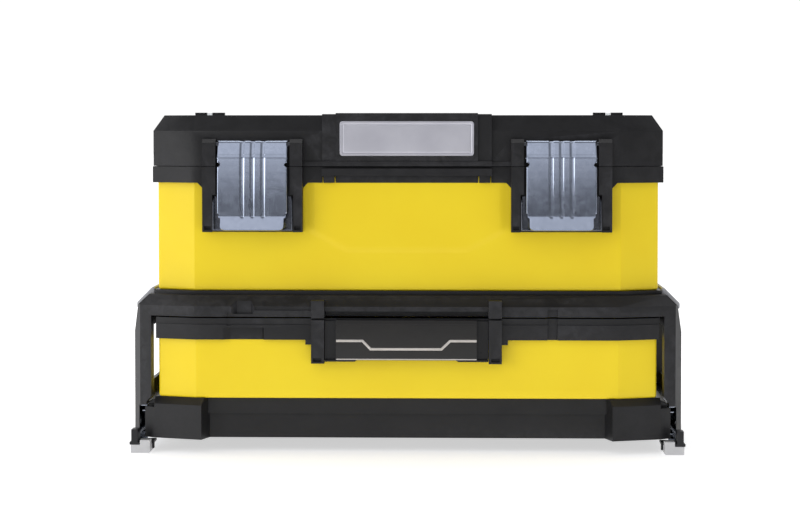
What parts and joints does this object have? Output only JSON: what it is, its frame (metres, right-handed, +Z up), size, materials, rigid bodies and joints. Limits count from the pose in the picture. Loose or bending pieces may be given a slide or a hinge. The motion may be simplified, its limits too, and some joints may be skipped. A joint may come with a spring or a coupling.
{
  "type": "tool box with drawer",
  "caption": "Metal and plastic tool box with a bevelled latched lid, folding carry handle, lid organizers and a full-width drawer on ball-bearing slides under the main box.",
  "frame": {"origin": "centre of the footprint on the floor, under the feet", "axes": "+Z up, the front with latches and drawer pull faces -Y, +X to the right seen from the front"},
  "size_m": [0.545, 0.28, 0.335],
  "materials": {
    "black_plastic": "textured black polypropylene",
    "black_gloss": "black-chrome mirror plate",
    "yellow_steel": "yellow powder coat on sheet steel",
    "galvanised": "galvanised steel with soft mottling",
    "steel_pin": "bright drawn steel",
    "silver_label": "satin silver plate",
    "grey_plastic": "light grey moulded plastic",
    "grip_rubber": "soft black overmould",
    "clear_plastic": "clear moulded plastic"
  },
  "bodies": {
    "housing": {"housing_frame": "black_plastic", "side_grip_left": "grey_plastic", "side_grip_right": "grey_plastic", "foot_front_left": "grey_plastic", "foot_front_right": "grey_plastic", "foot_rear_left": "grey_plastic", "foot_rear_right": "grey_plastic", "foot_clip_front_left": "black_plastic", "foot_clip_front_right": "black_plastic", "foot_clip_rear_left": "black_plastic", "foot_clip_rear_right": "black_plastic", "upper_body": "yellow_steel", "box_rim": "black_plastic", "keeper_bracket_left": "galvanised", "keeper_bracket_right": "galvanised", "keeper_rivets": "steel_pin", "deck_screws": "steel_pin", "tote_tray": "black_plastic", "lid_hinge_pins": "steel_pin", "slide_outer_left": "galvanised", "slide_outer_right": "galvanised", "slide_outer_rivets": "steel_pin"},
    "lid": {"lid_shell": "black_plastic", "label_plate": "silver_label", "latch_pins": "steel_pin", "handle_pivots": "steel_pin", "organizer_hinge_pins": "steel_pin"},
    "latch_left": {"latch_plate_left": "galvanised"},
    "latch_right": {"latch_plate_right": "galvanised"},
    "handle": {"carry_handle": "black_plastic", "handle_grip": "grip_rubber"},
    "organizer_left": {"organizer_lid_left": "clear_plastic"},
    "organizer_right": {"organizer_lid_right": "clear_plastic"},
    "drawer": {"drawer_body": "yellow_steel", "drawer_rim": "black_plastic", "drawer_base": "black_plastic", "drawer_pull": "black_plastic", "pull_plate": "black_gloss", "drawer_dividers": "black_plastic", "drawer_screws": "steel_pin", "slide_inner_left": "galvanised", "slide_inner_right": "galvanised", "slide_inner_rivets": "steel_pin"},
    "ball_cage_left": {"ball_cage_left": "black_plastic", "slide_balls_left": "steel_pin"},
    "ball_cage_right": {"ball_cage_right": "black_plastic", "slide_balls_right": "steel_pin"}
  },
  "joints": [
    {"name": "lid_hinge", "type": "hinge", "parent": "housing", "child": "lid", "pos_m": [0, 0.1305, 0.2817], "axis": [-1, 0, 0], "range_deg": [0, 105]},
    {"name": "latch_left_hinge", "type": "hinge", "parent": "lid", "child": "latch_left", "pos_m": [-0.151, -0.1205, 0.3035], "axis": [-1, 0, 0], "range_deg": [0, 100]},
    {"name": "latch_right_hinge", "type": "hinge", "parent": "lid", "child": "latch_right", "pos_m": [0.151, -0.1205, 0.3035], "axis": [-1, 0, 0], "range_deg": [0, 100]},
    {"name": "handle_hinge", "type": "hinge", "parent": "lid", "child": "handle", "pos_m": [0, 0.01, 0.313], "axis": [-1, 0, 0], "range_deg": [0, 90]},
    {"name": "organizer_left_hinge", "type": "hinge", "parent": "lid", "child": "organizer_left", "pos_m": [-0.2015, 0.104, 0.3304], "axis": [-1, 0, 0], "range_deg": [0, 95]},
    {"name": "organizer_right_hinge", "type": "hinge", "parent": "lid", "child": "organizer_right", "pos_m": [0.2015, 0.104, 0.3304], "axis": [-1, 0, 0], "range_deg": [0, 95]},
    {"name": "drawer_slide", "type": "slide", "parent": "housing", "child": "drawer", "axis": [0, -1, 0], "range_m": [0, 0.16]},
    {"name": "cage_left_slide", "type": "slide", "parent": "housing", "child": "ball_cage_left", "axis": [0, -1, 0], "range_m": [0, 0.08]},
    {"name": "cage_right_slide", "type": "slide", "parent": "housing", "child": "ball_cage_right", "axis": [0, -1, 0], "range_m": [0, 0.08]}
  ],
  "couplings": [
    {"joint": "cage_left_slide", "follows": "drawer_slide", "ratio": 0.5},
    {"joint": "cage_right_slide", "follows": "drawer_slide", "ratio": 0.5}
  ]
}
